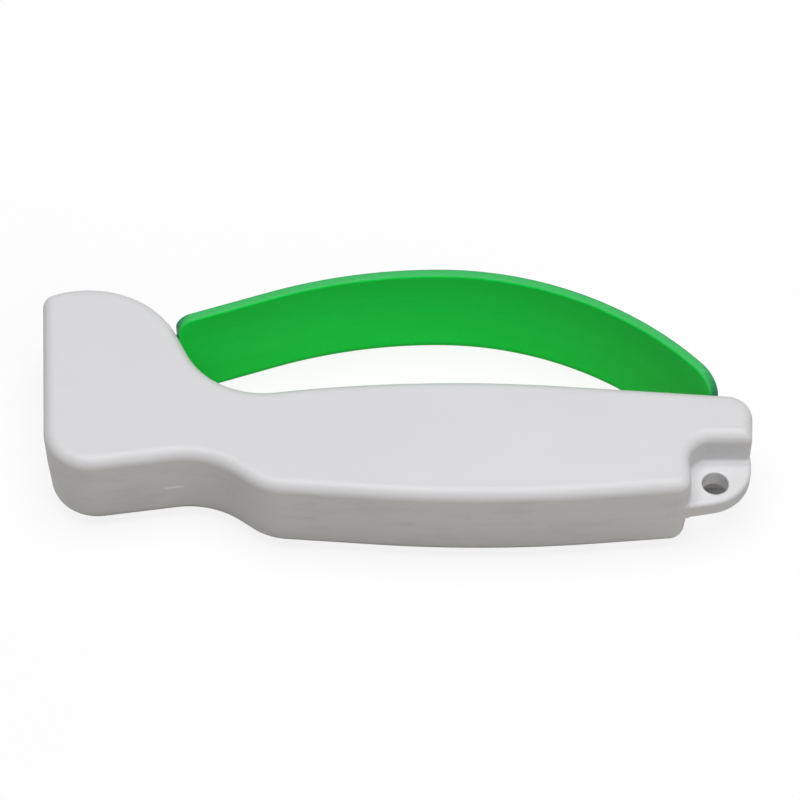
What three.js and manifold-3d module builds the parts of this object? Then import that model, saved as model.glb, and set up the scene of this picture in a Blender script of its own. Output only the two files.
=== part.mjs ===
// Hand-held V sharpener for garden tools: two moulded half shells closed on an arched finger guard,
// with a pair of crossed carbide blades held by a screwed cover in the end of the head.
// Millimetres. X runs from the head to the tail, Y from the palm to the guard, Z from back to front.
import * as THREE from 'three';
import { mergeVertices } from 'three/addons/utils/BufferGeometryUtils.js';
import Module from 'manifold-3d';

// Body: plan sizes are taken from the middle of the length and from the top of the grip
const bodyLength = 140.9;
const bodyThickness = 19;
const wall = 2.4;
const edgeRadius = 2;
const clearance = 0.3;

// Head, reached from the nose
const endTilt = 4.2;
const noseHeight = 22.9;
const noseRadius = 2.9;
const crownHeight = 30.15;
const crownReach = 19.4;
const crownRadius = 20.2;
const heelDrop = 20.8;
const heelRadius = 9.5;
const throatReach = 35.1;
const throatDrop = 2.6;
const throatRadius = 17;
const waistReach = 34.4;
const waistDrop = 16.4;
const waistRadius = 16.8;
const palmReach = 45.6;
const palmDrop = 24.8;
const palmRadius = 12.9;

// Grip and tail, reached from the tail's end face
const bellyReach = 52.6;
const bellyDrop = 28.3;
const bellyRadius = 270;
const gripCrownReach = 65.7;
const gripCrownRise = 2.45;
const gripCrownRadius = 270;
const gripEndReach = 13.2;
const gripEndDrop = 25.2;
const gripEndRadius = 3;
const tailDrop = 3;
const tailRadius = 5;
const armDrop = 13.7;
const armRadius = 1;
const recessRadius = 4.5;
const armTaper = 0.9;

// Lanyard tab
const tabThickness = 4;
const tabDrop = 22.4;
const tabSlope = 10;
const tabRadius = 9.3;
const tabEdgeRadius = 0.8;
const tabLedge = 0.3;
const lanyardHole = 5.1;
const lanyardReach = 8;
const lanyardDrop = 19.2;

// Finger guard: an arched strip, wider than the body, with a beaded tenon at each end
const guardWidth = 22.5;
const guardThickness = 2;
const guardEdgeRadius = 0.4;
const guardHeadReach = 27;
const guardHeadHeight = 15.25;
const guardHeadCorner = 3;
const guardRiseReach = 62.2;
const guardRiseHeight = 27.6;
const guardRiseRadius = 102;
const guardFallReach = 27.3;
const guardFallHeight = 27.1;
const guardFallRadius = 68.5;
const guardTailReach = 6.9;
const guardTailDrop = 0.4;
const guardTailCorner = 4;
const guardTailStub = 1.4;
const guardOverrun = 4;
const tenonLength = 6;
const tenonWidth = 10;
const beadRadius = 1.7;

// Tool slot along the top of the head
const slotAngle = 14;
const slotWidth = 6;
const slotFlare = 15;
const slotNeck = 5;
const slotFloorDrop = 2.5;
const slotFloorWall = 3;

// Blade cartridge in the end of the head
const vertexHeight = 13;
const vHalfAngle = 22;
const bladeLength = 11;
const bladeWidth = 4;
const bladeThickness = 2;
const bladeTail = 4;
const bladeReveal = 1.5;
const coverWidth = 14;
const coverTop = 7;
const coverBottom = 17;
const coverThickness = 2.4;
const coverCorner = 2;
const holderBack = 2.4;
const pocketWall = 1.8;

// Cover screw and its trapped square nut
const screwDrop = 11;
const screwDiameter = 3;
const screwLength = 15;
const screwHeadDiameter = 5.6;
const screwRim = 0.3;
const driveWidth = 0.8;
const driveSpan = 3.2;
const driveDepth = 1.3;
const nutSide = 5.5;
const nutThickness = 2.4;
const nutWall = 1.4;

// Inside of the shells
const tongueHeight = 1;
const tongueThickness = 1.2;
const postDiameter = 6.4;
const pegDiameter = 3;
const pegHeight = 3;
const postSpacing = 24;
const postCount = 4;
const ribThickness = 1.5;

// Facets: greatest distance of a chord from its arc, and the sides of small rounds
const chordError = 0.03;
const roundSides = 24;
const edgeSteps = 4;
const cornerSteps = 5;
const leastRadius = 0.05;

const wasm = await Module();
wasm.setup();

const noseX = -bodyLength / 2;
const tailX = bodyLength / 2;
const halfBody = bodyThickness / 2;
const endLean = THREE.MathUtils.degToRad(endTilt);
const overshoot = bodyThickness;

function corner(x, y, radius) {
  const point = new THREE.Vector2(x, y);
  point.radius = radius;
  return point;
}

// Corners of the body's plan, anticlockwise from the heel of the head
const armX = tailX - armTaper;
const bodyPlan = [
  corner(noseX + Math.tan(endLean) * (noseHeight + heelDrop), -heelDrop, heelRadius),
  corner(noseX + waistReach, -waistDrop, waistRadius),
  corner(noseX + palmReach, -palmDrop, palmRadius),
  corner(tailX - bellyReach, -bellyDrop, bellyRadius),
  corner(tailX - gripEndReach, -gripEndDrop, gripEndRadius),
  corner(tailX - gripEndReach, -armDrop, recessRadius),
  corner(armX, -armDrop, armRadius),
  corner(tailX, -tailDrop, tailRadius),
  corner(tailX - gripCrownReach, gripCrownRise, gripCrownRadius),
  corner(noseX + throatReach, -throatDrop, throatRadius),
  corner(noseX + crownReach, crownHeight, crownRadius),
  corner(noseX, noseHeight, noseRadius),
];

// The tab fills the stepped corner of the tail at half thickness, and starts inside the grip
const tabInner = tailX - gripEndReach - recessRadius;
const tabFall = Math.tan(THREE.MathUtils.degToRad(tabSlope)) * (armX - tabInner);
const tabPlan = [
  corner(tabInner, -tabDrop - tabFall, leastRadius),
  corner(armX, -tabDrop, tabRadius),
  corner(armX + tabLedge, tabEdgeRadius - armDrop, leastRadius),
  corner(tabInner, tabEdgeRadius - armDrop, leastRadius),
];

// Line of the guard's outer face, from the tail over the arch to the head
const guardLine = [
  corner(tailX - guardTailReach, -guardTailDrop, 0),
  corner(tailX - guardFallReach, guardFallHeight, guardFallRadius),
  corner(noseX + guardRiseReach, guardRiseHeight, guardRiseRadius),
  corner(noseX + guardHeadReach, guardHeadHeight, 0),
];

function direction(from, to) {
  return to.clone().sub(from).normalize();
}

function leftOf(vector) {
  return new THREE.Vector2(-vector.y, vector.x);
}

// Turn at a corner, and the run of edge that its rounding uses up on each side
function bendAt(corners, index) {
  const count = corners.length;
  const before = direction(corners[(index + count - 1) % count], corners[index]);
  const after = direction(corners[index], corners[(index + 1) % count]);
  const turn = Math.atan2(before.cross(after), before.dot(after));
  const run = corners[index].radius * Math.tan(Math.abs(turn) / 2);
  return { before, after, turn, run };
}

// Arc points at one corner of a plan whose edges are moved inwards by inset
function roundCorner(corners, index, inset) {
  const count = corners.length;
  const here = bendAt(corners, index);
  const shares = [-1, 1].map((step) => {
    const other = (index + step + count) % count;
    const edge = corners[index].distanceTo(corners[other]);
    return edge / (here.run + bendAt(corners, other).run);
  });
  const fitted = corners[index].radius * Math.min(1, ...shares);
  const side = Math.sign(here.turn);
  const radius = Math.max(fitted - side * inset, leastRadius);
  const startNormal = leftOf(here.before);
  const bisector = startNormal.clone().add(leftOf(here.after)).normalize();
  const offset = (inset + side * radius) / Math.cos(here.turn / 2);
  const centre = corners[index].clone().addScaledVector(bisector, offset);
  const step = 2 * Math.acos(1 - chordError / Math.max(fitted, 2 * chordError));
  const steps = Math.max(1, Math.ceil(Math.abs(here.turn) / step));
  return Array.from({ length: steps + 1 }, (_, k) => {
    const spoke = startNormal.clone().rotateAround(new THREE.Vector2(), (here.turn * k) / steps);
    return centre.clone().addScaledVector(spoke, -side * radius);
  });
}

function planRing(corners, inset = 0) {
  return corners.flatMap((_, index) => roundCorner(corners, index, inset));
}

// Closed solid through rings of equal count, stacked along Z, each given as { ring, z }
function loft(levels) {
  const count = levels[0].ring.length;
  const positions = levels.flatMap(({ ring, z }) => ring.flatMap((point) => [point.x, point.y, z]));
  const faces = [];
  for (let level = 0; level + 1 < levels.length; level += 1) {
    for (let k = 0; k < count; k += 1) {
      const a = level * count + k;
      const b = level * count + ((k + 1) % count);
      faces.push(a, b, b + count, a, b + count, a + count);
    }
  }
  const top = (levels.length - 1) * count;
  const caps = THREE.ShapeUtils.triangulateShape(levels[0].ring, []);
  caps.forEach(([a, b, c]) => faces.push(a, c, b));
  const lids = THREE.ShapeUtils.triangulateShape(levels[levels.length - 1].ring, []);
  lids.forEach(([a, b, c]) => faces.push(top + a, top + b, top + c));
  const geometry = new THREE.BufferGeometry();
  geometry.setAttribute('position', new THREE.Float32BufferAttribute(positions, 3));
  geometry.setIndex(faces);
  return solid(geometry);
}

// Slab of a plan, centred on the middle plane, with both rims rounded
function roundedSlab(corners, thickness, rim) {
  const levels = [];
  for (const face of [-1, 1]) {
    for (let k = 0; k <= edgeSteps; k += 1) {
      const sweep = (face < 0 ? k : edgeSteps - k) / edgeSteps;
      const angle = (sweep * Math.PI) / 2;
      const inset = rim * (1 - Math.sin(angle));
      const z = face * (thickness / 2 - rim * (1 - Math.cos(angle)));
      levels.push({ ring: planRing(corners, inset), z });
    }
  }
  return loft(levels);
}

function prism(ring, low, high) {
  return loft([{ ring, z: low }, { ring, z: high }]);
}

// Solid from a closed geometry, and geometry from a solid
function solid(geometry, matrix) {
  const bare = new THREE.BufferGeometry();
  bare.setAttribute('position', geometry.attributes.position.clone());
  bare.setIndex(geometry.index);
  const merged = mergeVertices(matrix ? bare.applyMatrix4(matrix) : bare);
  const vertProperties = new Float32Array(merged.attributes.position.array);
  const triVerts = new Uint32Array(merged.index.array);
  return new wasm.Manifold(new wasm.Mesh({ numProp: 3, vertProperties, triVerts }));
}

function toGeometry(body) {
  const { vertProperties, triVerts } = body.getMesh();
  const geometry = new THREE.BufferGeometry();
  geometry.setAttribute('position', new THREE.BufferAttribute(vertProperties, 3));
  geometry.setIndex(new THREE.BufferAttribute(triVerts, 1));
  geometry.computeVertexNormals();
  return geometry;
}

function joined(bodies) {
  return bodies.reduce((sum, body) => sum.add(body));
}

function cut(body, tools) {
  return tools.reduce((rest, tool) => rest.subtract(tool), body);
}

function place(x, y, z, turnX = 0, turnZ = 0) {
  const turn = new THREE.Matrix4().makeRotationFromEuler(new THREE.Euler(turnX, 0, turnZ, 'ZYX'));
  return new THREE.Matrix4().makeTranslation(x, y, z).multiply(turn);
}

function box(sizeX, sizeY, sizeZ, matrix) {
  return solid(new THREE.BoxGeometry(sizeX, sizeY, sizeZ), matrix);
}

// Round bar along Z
function bar(radius, length, x, y, z) {
  const geometry = new THREE.CylinderGeometry(radius, radius, length, roundSides);
  geometry.rotateX(Math.PI / 2);
  return solid(geometry, new THREE.Matrix4().makeTranslation(x, y, z));
}

// Round turned about the X axis, from a profile of [radius, distance along X] pairs
function turned(profile) {
  const points = profile.map(([radius, along]) => new THREE.Vector2(radius, along));
  const geometry = new THREE.LatheGeometry(points, roundSides);
  geometry.rotateZ(-Math.PI / 2);
  return solid(geometry);
}

// Body in plan
const bodyRing = planRing(bodyPlan);
const outerBody = roundedSlab(bodyPlan, bodyThickness, edgeRadius);
const outerTab = roundedSlab(tabPlan, tabThickness, tabEdgeRadius);
const lanyardBore = bar(lanyardHole / 2, bodyThickness, tailX - lanyardReach, -lanyardDrop, 0);

// Where a line first meets the body's outline, with the outline's inward normal there
function landing(start, along) {
  let best = null;
  bodyRing.forEach((from, k) => {
    const to = bodyRing[(k + 1) % bodyRing.length];
    const edge = to.clone().sub(from);
    const steep = along.cross(edge);
    const gap = from.clone().sub(start);
    const reach = gap.cross(edge) / steep;
    const share = gap.cross(along) / steep;
    const crosses = steep !== 0 && share >= 0 && share <= 1 && reach > 0;
    if (crosses && (best === null || reach < best.reach)) {
      const point = start.clone().addScaledVector(along, reach);
      best = { reach, point, inward: leftOf(edge.normalize()) };
    }
  });
  return best;
}

// Each end of the guard: its straight run is followed from the arch to the body
function guardEnd(tip, knee) {
  const along = direction(knee, tip);
  const side = tip === guardLine[0] ? -1 : 1;
  const start = knee.clone().addScaledVector(leftOf(along), (side * guardThickness) / 2);
  const root = landing(start, along);
  return { along, ...root };
}
const tailEnd = guardEnd(guardLine[0], guardLine[1]);
const headEnd = guardEnd(guardLine[3], guardLine[2]);

// The guard's line with its two ends drawn out to the body
function extended(knee, end) {
  const tip = knee.clone().addScaledVector(end.along, end.reach);
  tip.radius = 0;
  return tip;
}
const guardPath = [
  extended(guardLine[1], tailEnd),
  guardLine[1],
  guardLine[2],
  extended(guardLine[2], headEnd),
];

// Half width of the strip at a distance from one end, where a corner of this radius is rounded off
function guardHalfWidth(fromEnd, radius) {
  const into = THREE.MathUtils.clamp(radius - fromEnd, 0, radius);
  const drop = radius - Math.sqrt(radius ** 2 - into ** 2);
  return guardWidth / 2 - drop;
}

// One side of the strip from the tail's tip to the head's, as far inside the outer line as inset
function guardSide(inset) {
  const tips = [[0, 1, 1], [3, 2, -1]].map(([tip, knee, side]) => {
    const inwards = leftOf(direction(guardPath[tip], guardPath[knee]));
    return guardPath[tip].clone().addScaledVector(inwards, side * inset);
  });
  return [tips[0], ...roundCorner(guardPath, 1, inset), ...roundCorner(guardPath, 2, inset), tips[1]];
}

// Stations along the strip, closer together at its rounded ends: outer and inner point, and half the width.
// At the tail a narrow stub carries the rounded end clear of the body.
function guardStations() {
  const outer = guardSide(0);
  const inner = guardSide(guardThickness);
  const last = outer.length - 1;
  const walked = [0];
  for (let k = 1; k <= last; k += 1) {
    walked.push(walked[k - 1] + outer[k].distanceTo(outer[k - 1]));
  }
  const total = walked[last];
  const shares = Array.from({ length: cornerSteps + 1 }, (_, k) => 1 - Math.cos((k / cornerSteps) * (Math.PI / 2)));
  const nearTail = shares.map((share) => guardTailStub + guardTailCorner * share);
  const nearHead = shares.map((share) => total - guardHeadCorner * share);
  const marks = [-guardOverrun, ...nearTail, ...walked, ...nearHead, total + guardOverrun];
  marks.sort((a, b) => a - b);
  const distances = marks.filter((mark, k) => k === 0 || mark - marks[k - 1] > chordError);
  return distances.map((distance) => {
    let next = 1;
    while (next < last && walked[next] < distance) {
      next += 1;
    }
    const share = (distance - walked[next - 1]) / (walked[next] - walked[next - 1]);
    const between = (side) => new THREE.Vector2().lerpVectors(side[next - 1], side[next], share);
    const tailHalf = guardHalfWidth(distance - guardTailStub, guardTailCorner);
    const headHalf = guardHalfWidth(total - distance, guardHeadCorner);
    return { outer: between(outer), inner: between(inner), half: Math.min(tailHalf, headHalf) };
  });
}

// Section of the strip with its four long edges eased, as points around the outline
function stripSection({ outer, inner, half }) {
  const through = direction(outer, inner);
  const ease = guardEdgeRadius;
  const point = (depth, z) => {
    const flat = outer.clone().addScaledVector(through, depth);
    return new THREE.Vector3(flat.x, flat.y, z);
  };
  const deep = guardThickness;
  return [
    point(0, -half + ease), point(0, half - ease),
    point(ease, half), point(deep - ease, half),
    point(deep, half - ease), point(deep, -half + ease),
    point(deep - ease, -half), point(ease, -half),
  ];
}

// Closed skin over a row of sections of equal count
function skin(sections) {
  const count = sections[0].length;
  const faces = [];
  for (let row = 0; row + 1 < sections.length; row += 1) {
    for (let k = 0; k < count; k += 1) {
      const a = row * count + k;
      const b = row * count + ((k + 1) % count);
      faces.push(a, b + count, b, a, a + count, b + count);
    }
  }
  const last = (sections.length - 1) * count;
  for (let k = 1; k + 1 < count; k += 1) {
    faces.push(0, k, k + 1);
    faces.push(last, last + k + 1, last + k);
  }
  const geometry = new THREE.BufferGeometry();
  geometry.setFromPoints(sections.flat());
  geometry.setIndex(faces);
  return solid(geometry);
}

// Tenon and bead at a guard end; grow gives the room around it in the shells
function tenon(end, grow) {
  const lean = Math.atan2(end.inward.y, end.inward.x);
  const start = -guardThickness / 2;
  const length = tenonLength - start + grow;
  const middle = end.point.clone().addScaledVector(end.inward, start + length / 2);
  const matrix = place(middle.x, middle.y, 0, 0, lean);
  const tongue = box(length, guardThickness + 2 * grow, tenonWidth + 2 * grow, matrix);
  const side = leftOf(end.inward);
  const inwards = side.dot(direction(end.point, new THREE.Vector2())) > 0 ? 1 : -1;
  const bead = end.point.clone().addScaledVector(end.inward, tenonLength - beadRadius);
  bead.addScaledVector(side, inwards * (beadRadius - guardThickness / 2));
  return tongue.add(bar(beadRadius + grow, tenonWidth + 2 * grow, bead.x, bead.y, 0));
}

function fingerGuard() {
  const strip = skin(guardStations().map(stripSection));
  const room = prism(planRing(bodyPlan, -clearance), -guardWidth, guardWidth);
  return joined([strip.subtract(room), tenon(tailEnd, 0), tenon(headEnd, 0)]);
}

// Cartridge frame: on the head's end face at the foot of the V, X pointing into the head
const vertexX = noseX + Math.tan(endLean) * (noseHeight - vertexHeight);
const cartridgeMatrix = place(vertexX, vertexHeight, 0, 0, endLean);
const halfV = THREE.MathUtils.degToRad(vHalfAngle);
const bladeFront = coverThickness + clearance;
const bladeRear = bladeFront + bladeThickness + clearance;
const holderDepth = bladeRear + bladeThickness + clearance + holderBack;
const nutFront = holderDepth + clearance + nutWall;

// Matrix of a blade leaning to one side, its inner edge on the flank of the V
function bladeMatrix(lean, front) {
  const edge = new THREE.Vector2(Math.cos(halfV), lean * Math.sin(halfV));
  const outward = new THREE.Vector2(-Math.sin(halfV), lean * Math.cos(halfV));
  const middle = edge.multiplyScalar(bladeLength / 2 - bladeTail);
  middle.addScaledVector(outward, bladeWidth / 2);
  return place(front + bladeThickness / 2, middle.x, middle.y, lean * halfV);
}
const leftBlade = bladeMatrix(-1, bladeRear);
const rightBlade = bladeMatrix(1, bladeFront);

// Room of a blade, open towards the end face as far as reach
function bladeRoom(matrix, grow, reach) {
  const depth = bladeThickness + 2 * grow + reach;
  const shift = new THREE.Matrix4().makeTranslation(-reach / 2, 0, 0);
  const size = [depth, bladeLength + 2 * grow, bladeWidth + 2 * grow];
  return box(...size, matrix.clone().multiply(shift));
}

// Prism along X of an outline drawn in the cartridge's Y and Z
function sectionAlongX(points, low, high) {
  const ring = points.map(([y, z]) => new THREE.Vector2(y, z));
  const geometry = new THREE.ExtrudeGeometry(new THREE.Shape(ring), { depth: high - low, bevelEnabled: false });
  const axes = new THREE.Matrix4().set(0, 0, 1, low, 1, 0, 0, 0, 0, 1, 0, 0, 0, 0, 0, 1);
  return solid(geometry, axes);
}

function roundedPlate(grow, low, high) {
  const half = coverWidth / 2 + grow;
  const top = coverTop + grow;
  const bottom = -coverBottom - grow;
  const radius = coverCorner + grow;
  const plan = [
    corner(bottom, -half, radius), corner(top, -half, radius),
    corner(top, half, radius), corner(bottom, half, radius),
  ];
  const points = planRing(plan).map((point) => [point.x, point.y]);
  return sectionAlongX(points, low, high);
}

// V through cover and holder, wider than the blades' V so that their edges stand in it
const vFoot = bladeReveal / Math.cos(halfV);
function vNotch(low, high) {
  const foot = vFoot / Math.tan(halfV) / 2;
  const head = coverTop + overshoot;
  const wide = (height) => vFoot + height * Math.tan(halfV);
  const points = [
    [-foot, -wide(-foot)], [head, -wide(head)],
    [head, wide(head)], [-foot, wide(-foot)],
  ];
  return sectionAlongX(points, low, high);
}

function screwBore(radius, length) {
  return turned([[0, -overshoot], [radius, -overshoot], [radius, length], [0, length]])
    .translate(0, -screwDrop, 0);
}

// Countersunk screw, its face just inside the cover's; grow gives the room around its head
function screwProfile(grow) {
  const head = screwHeadDiameter / 2 + grow;
  const shank = screwDiameter / 2 + grow;
  const neck = screwRim + head - shank;
  return { head, shank, neck };
}

function bladeScrew() {
  const { head, shank, neck } = screwProfile(0);
  const tip = shank / 2;
  const blank = turned([
    [0, 0], [head, 0], [head, screwRim], [shank, neck],
    [shank, screwLength - tip], [tip, screwLength], [0, screwLength],
  ]);
  const slots = [[driveSpan, driveWidth], [driveWidth, driveSpan]].map(([y, z]) => {
    return box(2 * driveDepth, y, z);
  });
  return cut(blank, slots);
}

function screwHeadRoom() {
  const { head, shank, neck } = screwProfile(clearance);
  const room = turned([
    [0, -overshoot], [head, -overshoot], [head, screwRim + clearance], [shank, neck + clearance],
    [shank, holderDepth + overshoot], [0, holderDepth + overshoot],
  ]);
  return room.translate(0, -screwDrop, 0);
}

function bladeRetainer() {
  const plate = roundedPlate(0, 0, coverThickness);
  const reach = bladeRear - coverThickness - clearance;
  const pad = bladeRoom(leftBlade, -clearance, reach + bladeThickness);
  const gapPad = pad.intersect(roundedPlate(0, coverThickness / 2, bladeRear - clearance));
  const tools = [bladeRoom(rightBlade, clearance, 0), vNotch(-overshoot, overshoot), screwHeadRoom()];
  return cut(plate.add(gapPad), tools);
}

function bladeHolder() {
  const block = roundedPlate(0, bladeFront, holderDepth);
  const seats = [bladeRoom(leftBlade, clearance, overshoot), bladeRoom(rightBlade, clearance, overshoot)];
  const bore = screwBore(screwDiameter / 2 + clearance, overshoot);
  return cut(block, [...seats, vNotch(-overshoot, overshoot), bore]);
}

function captiveNut() {
  const bore = turned([
    [0, -nutThickness], [screwDiameter / 2 + clearance, -nutThickness],
    [screwDiameter / 2 + clearance, nutThickness], [0, nutThickness],
  ]);
  return box(nutThickness, nutSide, nutSide).subtract(bore);
}

// Slot for the tool: a channel with a flared mouth, its floor rising towards the guard
const slotLean = THREE.MathUtils.degToRad(slotAngle);
function toolSlot() {
  const neck = slotWidth / 2;
  const high = crownHeight + overshoot;
  const mouth = neck + (high - slotNeck) * Math.tan(THREE.MathUtils.degToRad(slotFlare));
  const points = [[0, -neck], [slotNeck, -neck], [high, -mouth], [high, mouth], [slotNeck, neck], [0, neck]];
  const channel = sectionAlongX(points, -overshoot, throatReach + overshoot);
  return channel.transform(place(vertexX, vertexHeight - slotFloorDrop, 0, 0, slotLean).toArray());
}

// Everything that keeps the inside of the shells from being hollow
function backing() {
  const deep = bodyThickness;
  const floor = box(2 * bodyLength, crownHeight, deep);
  const drop = slotFloorDrop + slotFloorWall;
  const jaw = floor.translate(0, crownHeight / 2, 0)
    .transform(place(vertexX, vertexHeight - drop, 0, 0, slotLean).toArray());
  const pocketSize = [holderDepth + pocketWall, coverTop + coverBottom + 2 * pocketWall, deep];
  const pocketMiddle = [pocketSize[0] / 2, (coverTop - coverBottom) / 2, 0];
  const pocket = box(...pocketSize).translate(...pocketMiddle).transform(cartridgeMatrix.toArray());
  const bossSize = [screwLength + pocketWall, nutSide + 2 * pocketWall, deep];
  const boss = box(...bossSize).translate(bossSize[0] / 2, -screwDrop, 0).transform(cartridgeMatrix.toArray());
  const sockets = [tailEnd, headEnd].map((end) => tenon(end, pocketWall));
  const supports = postPlaces().map(({ x, y }) => bar(postDiameter / 2, deep, x, y, 0));
  const ribs = ribPlaces().map((x) => box(ribThickness, bodyLength, deep, place(x, 0, 0)));
  return joined([jaw, pocket, boss, ...sockets, ...supports, ...ribs]);
}

// Posts stand along the grip's centre line, and ribs half way between them
function postPlaces() {
  const first = tailX - gripEndReach - postSpacing / 2 - (postCount - 1) * postSpacing;
  const y = (gripCrownRise - palmDrop) / 2;
  return Array.from({ length: postCount }, (_, k) => ({ x: first + k * postSpacing, y }));
}

function ribPlaces() {
  return postPlaces().slice(1).map(({ x }) => x - postSpacing / 2);
}

function shells() {
  const hollowDepth = halfBody - wall;
  const hollow = prism(planRing(bodyPlan, wall), -hollowDepth, hollowDepth).subtract(backing());
  const nutRoom = box(nutThickness + 2 * clearance, nutSide + 2 * clearance, nutSide + 2 * clearance)
    .translate(nutFront + nutThickness / 2, -screwDrop, 0);
  const inHead = [
    roundedPlate(clearance, -overshoot, holderDepth + clearance),
    screwBore(screwDiameter / 2 + clearance, screwLength + clearance),
    nutRoom,
  ].map((tool) => tool.transform(cartridgeMatrix.toArray()));
  const tenonRooms = [tailEnd, headEnd].map((end) => tenon(end, clearance));
  const openings = [lanyardBore, toolSlot(), ...inHead, ...tenonRooms];
  const body = cut(outerBody.add(outerTab), [hollow, ...openings]);

  const span = 2 * bodyLength;
  const upper = box(span, span, span, place(0, 0, span / 2));
  const lower = box(span, span, span, place(0, 0, -span / 2));
  const tongueRing = (low, high, start, end) => {
    const outside = prism(planRing(bodyPlan, start), low, high);
    return outside.subtract(prism(planRing(bodyPlan, end), low - clearance, high + clearance));
  };
  const tongueStart = wall - tongueThickness;
  const tongue = cut(tongueRing(-tongueHeight, tongueHeight, tongueStart, wall), openings);
  const groove = tongueRing(0, tongueHeight + clearance, tongueStart - clearance, wall + clearance);
  const pegs = postPlaces().map(({ x, y }) => bar(pegDiameter / 2, 2 * pegHeight, x, y, 0));
  const sockets = postPlaces().map(({ x, y }) => {
    return bar(pegDiameter / 2 + clearance, 2 * (pegHeight + clearance), x, y, 0);
  });
  const front = cut(body.intersect(upper), [groove, ...sockets]);
  const rear = joined([body.intersect(lower), tongue, ...pegs]);
  return { front, rear };
}

function mesh(name, body, color, roughness, metalness) {
  const material = new THREE.MeshStandardMaterial({ color, roughness, metalness, flatShading: true });
  const piece = new THREE.Mesh(body.isBufferGeometry ? body : toGeometry(body), material);
  piece.name = name;
  return piece;
}

function bladeMesh(name, matrix) {
  const plate = new THREE.BoxGeometry(bladeThickness, bladeLength, bladeWidth);
  const piece = mesh(name, plate, 0x5b5f63, 0.35, 0.9);
  piece.applyMatrix4(matrix);
  return piece;
}

const white = 0xdcdcde;
const { front, rear } = shells();
const tool = new THREE.Group();
tool.add(mesh('front_shell', front, white, 0.45, 0));
tool.add(mesh('rear_shell', rear, white, 0.45, 0));
tool.add(mesh('finger_guard', fingerGuard(), 0x17a53a, 0.4, 0));

const cartridge = new THREE.Group();
cartridge.applyMatrix4(cartridgeMatrix);
cartridge.add(mesh('blade_holder', bladeHolder(), 0x2c2e30, 0.6, 0));
cartridge.add(mesh('blade_retainer', bladeRetainer(), white, 0.45, 0));
cartridge.add(bladeMesh('carbide_blade_left', leftBlade));
cartridge.add(bladeMesh('carbide_blade_right', rightBlade));
const screw = mesh('blade_screw', bladeScrew(), 0xb9bcc0, 0.3, 1);
screw.position.set(0, -screwDrop, 0);
cartridge.add(screw);
const nut = mesh('captive_nut', captiveNut(), 0xc9a24a, 0.35, 1);
nut.position.set(nutFront + nutThickness / 2, -screwDrop, 0);
cartridge.add(nut);
tool.add(cartridge);

// The finished tool lies on its back, centred in plan over the origin
const part = new THREE.Group();
part.add(tool);
part.updateMatrixWorld(true);
const extent = new THREE.Box3().setFromObject(tool, true);
const middle = extent.getCenter(new THREE.Vector3());
tool.position.set(-middle.x, -middle.y, -extent.min.z);

export default part;
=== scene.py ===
"""Garden tool sharpener lying on its back in a white studio.

Two white moulded half shells close on an arched green finger guard, and a screwed cartridge in the end of
the head holds two crossed carbide blades. Shapes are drawn in millimetres on the tool's middle plane, with X
from head to tail, Y from palm to guard and Z from back to front. They reach their meshes in metres, in the
CAD frame.
"""

import math

import bpy
import numpy as np
from mathutils import Matrix, Vector


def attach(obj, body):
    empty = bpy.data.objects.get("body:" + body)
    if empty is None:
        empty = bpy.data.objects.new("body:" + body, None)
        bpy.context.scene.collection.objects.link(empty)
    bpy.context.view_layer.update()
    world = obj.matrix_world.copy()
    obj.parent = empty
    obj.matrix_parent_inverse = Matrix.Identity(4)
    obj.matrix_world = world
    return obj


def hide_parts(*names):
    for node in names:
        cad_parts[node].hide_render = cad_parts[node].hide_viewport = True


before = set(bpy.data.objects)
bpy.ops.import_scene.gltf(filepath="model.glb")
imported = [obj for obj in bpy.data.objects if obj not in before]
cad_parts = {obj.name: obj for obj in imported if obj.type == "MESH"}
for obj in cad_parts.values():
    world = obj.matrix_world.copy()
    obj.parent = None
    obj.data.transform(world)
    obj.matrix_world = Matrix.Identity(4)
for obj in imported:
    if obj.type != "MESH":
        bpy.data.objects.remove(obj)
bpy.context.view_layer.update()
scene = bpy.context.scene

# Drawing to CAD frame
MM = 0.001
LAID_DOWN = np.array([0.1302, 0.0013, 11.25])

# Fineness of arcs and circles
CHORD = 0.004
LEAST_RADIUS = 0.05
LEAST_RUN = 1e-9
SIDES = 48
HOLE_SIDES = 72
RIM_POINTS = 13
HOLLOW_POINTS = 5
HOLE_POINTS = 7
COVE_POINTS = 9
GUARD_END_POINTS = 17

# Angles between faces, in degrees, up to which they are shaded smooth
SMOOTH = 33
BLADE_SMOOTH = 20
SCREW_SMOOTH = 40

# Room between pieces, and how far a cutting tool runs past what it cuts
GAP = 0.3
BEYOND = 19.0

# Shells
HALF_THICK = 9.5
RIM_RADIUS = 2.4
RIM_FLAT = 0.2
DRAWN_IN = 0.02
SEAM = 0.035
WALL = 2.4
HOLLOW_EDGE = 0.8
GRIP_DRAFT = 0.6
NOSE_DRAFT = 0.3
END_LEAN = math.radians(4.2)
NOSE_X = -70.45
NECK_X = -35.35
TAIL_X = 70.45
NOSE_Y = 22.9
CROWN_Y = 30.15
HEEL_Y = -20.8
GRIP_END_X = 57.25
RECESS_Y = -13.7
ARM_X = 69.55

# Corners of the body's plan, anticlockwise from the heel: x, y and rounding radius
BODY = np.array([
    (NOSE_X + math.tan(END_LEAN) * (NOSE_Y - HEEL_Y), HEEL_Y, 9.5),
    (-36.05, -16.4, 16.8),
    (-24.85, -24.8, 12.9),
    (17.85, -28.3, 270.0),
    (GRIP_END_X, -25.2, 3.0),
    (GRIP_END_X, RECESS_Y, 4.5),
    (ARM_X, RECESS_Y, 0.7),
    (TAIL_X, -3.0, 5.0),
    (4.75, 2.45, 270.0),
    (NECK_X, -2.6, 17.0),
    (-51.05, CROWN_Y, 20.2),
    (NOSE_X, NOSE_Y, 2.9),
])

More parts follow.
